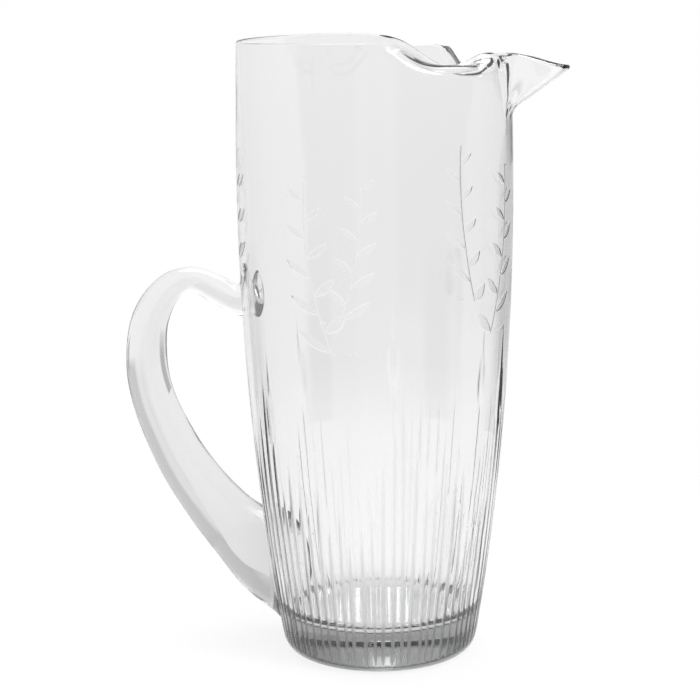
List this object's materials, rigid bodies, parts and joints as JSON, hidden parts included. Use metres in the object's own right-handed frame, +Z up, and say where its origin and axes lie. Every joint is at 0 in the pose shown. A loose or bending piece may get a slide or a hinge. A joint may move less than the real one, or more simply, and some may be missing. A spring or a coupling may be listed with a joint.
{
  "type": "cocktail pitcher",
  "caption": "Tall clear glass pitcher: tapered barrel on a heavy base, rim pinched into an ice lip, pulled beak spout and a solid drawn glass handle.",
  "frame": {"origin": "middle of the foot's underside, where the barrel's axis meets the table", "axes": "+Z up along the barrel's axis, +X towards the spout, -X towards the handle"},
  "size_m": [0.1941, 0.1134, 0.254],
  "materials": {
    "clear_glass": "polished clear glass"
  },
  "bodies": {
    "root": {"vessel": "clear_glass", "handle": "clear_glass"}
  },
  "joints": []
}
